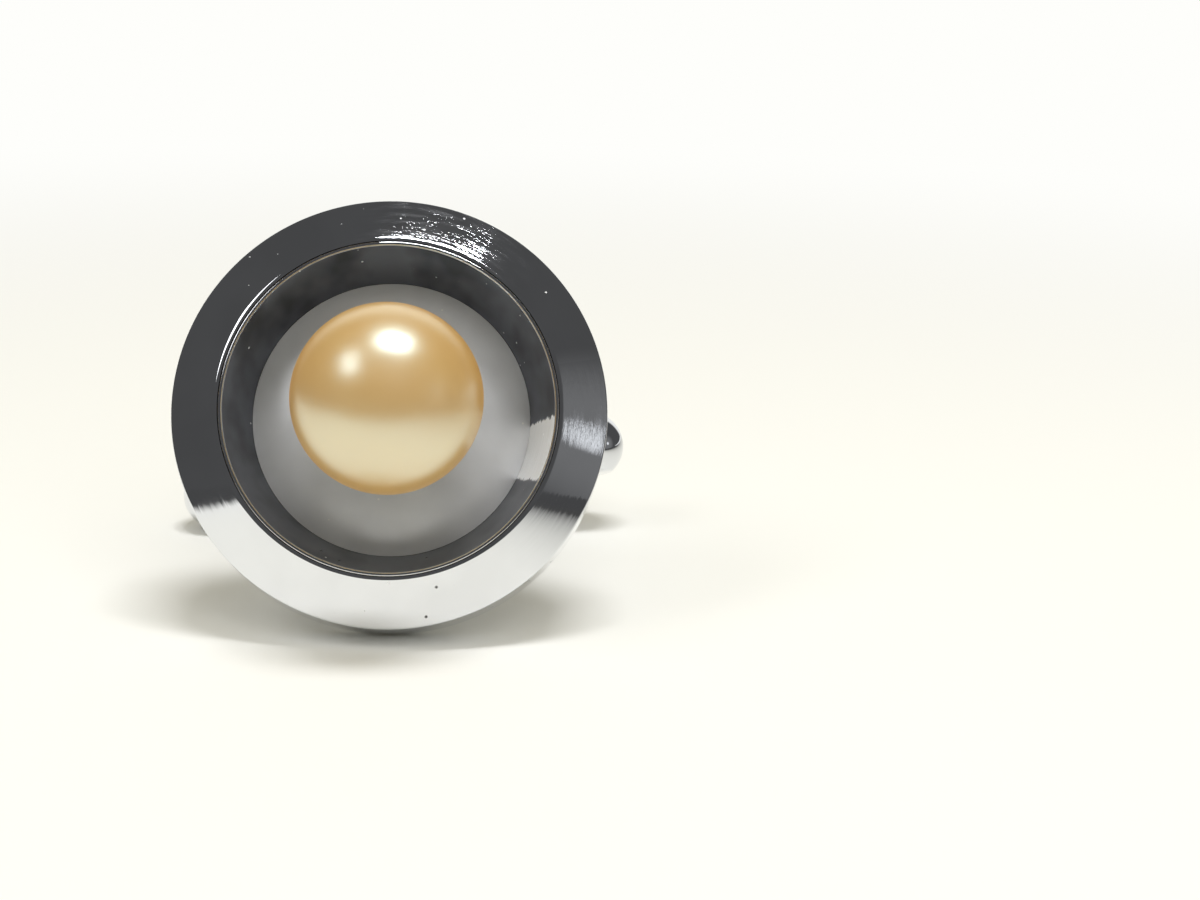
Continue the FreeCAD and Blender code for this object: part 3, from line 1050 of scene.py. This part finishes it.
# Painted shade in mirrors at the right, for a second link and its shadow
RIGHT = (0.012, 0.070)
LEFT = (-0.060, -0.085)
BESIDE = (0.08, 0.03)


def room_edge_and_painted_shade(tree, place):
    """Where the paper ends in mirrors, ahead and at the far left, and a painted shade growing to the right unless
    far behind.
    """
    sides = add(tree, "SeparateXYZ", {"Vector": place})
    ahead, right, left, beside = [
        add(tree, "MapRange", {
            "Value": sides[axis], "From Min": start, "From Max": end,
        }, interpolation_type=blend)["Result"]
        for axis, (start, end), blend in (
            ("Y", AHEAD, "SMOOTHSTEP"), ("X", RIGHT, "LINEAR"),
            ("X", LEFT, "LINEAR"), ("Y", BESIDE, "LINEAR"),
        )
    ]
    fade = add(tree, "Math", {0: right, 1: beside}, operation="MULTIPLY")[0]
    flanks = add(tree, "Math", {0: left, 1: fade}, operation="MAXIMUM")[0]
    return add(tree, "Math", {0: ahead, 1: flanks}, operation="MAXIMUM")[0]


def white_paper():
    """Matt white paper, plainly white far off, with the room's edge and a painted shade at the right in mirrors.
    """
    material, tree, surface = new_material("white_paper_matt")
    place = add(tree, "TexCoord", {})["Object"]
    rays = add(tree, "LightPath", {})
    away = add(tree, "VectorMath", {0: place}, operation="LENGTH")["Value"]
    far = add(tree, "MapRange", {
        "Value": away, "From Min": PLAIN[0], "From Max": PLAIN[1],
    }, interpolation_type="SMOOTHSTEP")["Result"]
    mirrored = add(tree, "Math", {
        0: rays["Is Glossy Ray"], 1: rays["Is Transmission Ray"],
    }, operation="MAXIMUM")[0]
    seen = add(tree, "Math", {0: rays["Is Camera Ray"], 1: mirrored}, operation="MAXIMUM")[0]
    shade = add(tree, "Math", {0: room_edge_and_painted_shade(tree, place), 1: mirrored}, operation="MULTIPLY")[0]
    near_tone, far_tone = [
        add(tree, "MixRGB", {"Fac": shade, "Color1": linear(white), "Color2": linear("#4B4B4B")})["Color"]
        for white in ("#F6F7F6", "#FEFEFB")
    ]
    matt = add(tree, "BsdfDiffuse", {"Color": near_tone})["BSDF"]
    plain = add(tree, "Emission", {"Color": far_tone})["Emission"]
    share = add(tree, "Math", {0: far, 1: seen}, operation="MULTIPLY")[0]
    tree.links.new(add(tree, "MixShader", {0: share, 1: matt, 2: plain})[0], surface)
    return material


paper_mesh = bpy.data.meshes.new("white_paper")
paper_corners = PAPER_HALF * np.array([(-1, -1, 0), (1, -1, 0), (1, 1, 0), (-1, 1, 0)])
paper_mesh.from_pydata(paper_corners.tolist(), [], [(0, 1, 2, 3)])
paper_mesh.materials.append(white_paper())
paper = into_scene("white_paper", paper_mesh)
print("paper is", 2 * PAPER_HALF, "m wide")

# %% [markdown]
# ## Room
#
# Polished plate shows its surroundings, so these follow the photograph: white behind, a dark room elsewhere,
# and one paler place at the right with a small window in it. A picture of a room could be wrapped round the
# scene. Three soft round patches, each worked out from its direction, are enough and easier to move.

# %% Room
# Azimuth and elevation of the patches, and how far they spread, in degrees
SWEEP = (180, 8)
SWEEP_OUTER = 42
SWEEP_INNER = 30
GLOW = (67, 14)
GLOW_SPREAD = 26
WINDOW_SPREAD = 5
AMBIENT = 0.36


def towards(azimuth, elevation):
    """Unit vector to a point of the sky: azimuth from the front to the right, elevation up, in degrees."""
    a, e = math.radians(azimuth), math.radians(elevation)
    return math.sin(a) * math.cos(e), -math.cos(a) * math.cos(e), math.sin(e)


def dark_room():
    """World for mirrors, with an even, warm light on everything matt and plain white for the camera."""
    world = bpy.data.worlds.new("dark_room")
    bpy.context.scene.world = world
    world.use_nodes = True
    tree = world.node_tree
    tree.nodes.clear()
    way = add(tree, "TexCoord", {})["Generated"]
    rays = add(tree, "LightPath", {})
    sweep = round_patch(tree, way, towards(*SWEEP), SWEEP_OUTER, SWEEP_INNER, blend="SMOOTHSTEP")
    glow = round_patch(tree, way, towards(*GLOW), GLOW_SPREAD, 0, blend="SMOOTHSTEP")
    window = round_patch(tree, way, towards(*GLOW), WINDOW_SPREAD, WINDOW_SPREAD / 2)
    ambient = tuple(AMBIENT * level for level in linear("#FFF5D2")[:3]) + (1.0,)
    shown = linear("#4E4E4E")
    for share, over in (
        (glow, linear("#787878")),
        (window, linear("#F4F6F8")),
        (sweep, linear("#FAFAF6")),
        (rays["Is Diffuse Ray"], ambient),
        (rays["Is Camera Ray"], linear("#FCFCFA")),
    ):
        shown = add(tree, "MixRGB", {"Fac": share, "Color1": shown, "Color2": over})["Color"]
    sky = add(tree, "Background", {"Color": shown, "Strength": 1.0})["Background"]
    tree.links.new(sky, tree.nodes.new("ShaderNodeOutputWorld").inputs["Surface"])
    return world


print("made the", dark_room().name)

# %% [markdown]
# ## Lamps
#
# The pearl and the matt pieces need lamps of their own. A soft one nearly overhead gives the pearl its main
# highlight and the link its shadow. A weaker one at the left gives the second highlight and the bright line
# on the upper left of the lip. A broad fill from the front lightens the shadows and is kept out of mirrors,
# where it would show as a square.

# %% Lamps


def lamp(name, azimuth, elevation, distance, size, power):
    """Soft lamp (width, height) in a direction of the sky, turned to the link. Metres, degrees and watts."""
    light = bpy.data.lights.new(name, "AREA")
    light.shape = "RECTANGLE"
    light.size, light.size_y = size
    light.energy = power
    holder = into_scene(name, light)
    way = Vector(towards(azimuth, elevation))
    holder.location = way * distance
    across = (Vector((1, 0, 0)) - way * way.x).normalized()
    holder.rotation_euler = Matrix((across, way.cross(across), way)).transposed().to_euler()
    holder.visible_camera = False
    return holder


lamp("overhead_lamp", 56, 81.7, 0.30, (0.13, 0.055), 0.48)
lamp("side_lamp", -60, 46, 0.35, (0.10, 0.15), 0.15)
fill = lamp("front_fill", 18, 44, 0.40, (0.25, 0.25), 0.38)
fill.visible_glossy = False
print("three lamps hung")

# %% [markdown]
# ## Camera
#
# The camera's direction and distance were fitted to three outlines: the rim's, the inner edge of its bevel
# and the pearl's. It looks at the middle of the face, and is then turned a little aside, so that the face
# lies left of the middle. A lens shift would do that too, but it would stay in every other view.

# %% Camera
PICTURE = (1200, 900)
FOCAL_PIXELS = 2519
FACE_PIXEL = (390, 412)
CAMERA_AZIMUTH = 2.86
CAMERA_ELEVATION = 14.48
CAMERA_DISTANCE = 0.1102
SENSOR = 36
face_centre = rivet_middle + post_way * bevel_edge_y * MM
camera_data = bpy.data.cameras.new("camera")
camera_data.sensor_width = SENSOR
camera_data.lens = FOCAL_PIXELS * SENSOR / PICTURE[0]
camera_data.clip_start = MM
camera = into_scene("camera", camera_data)
bpy.context.scene.camera = camera
to_camera = Vector(towards(CAMERA_AZIMUTH, CAMERA_ELEVATION))
camera.location = Vector(face_centre) + to_camera * CAMERA_DISTANCE
level = (-to_camera).to_track_quat("-Z", "Y")
yaw = math.atan((FACE_PIXEL[0] - PICTURE[0] / 2) / FOCAL_PIXELS)
pitch = math.atan((FACE_PIXEL[1] - PICTURE[1] / 2) / FOCAL_PIXELS)
turn = Quaternion((0, 1, 0), yaw) @ Quaternion((1, 0, 0), pitch)
camera.rotation_euler = (level @ turn).to_euler()
print("lens", round(camera_data.lens, 1), "mm, camera at", list(camera.location))

# %% [markdown]
# ## Finish
#
# The picture is shown with the standard view transform.

# %% Finish
bpy.context.scene.view_settings.view_transform = "Standard"
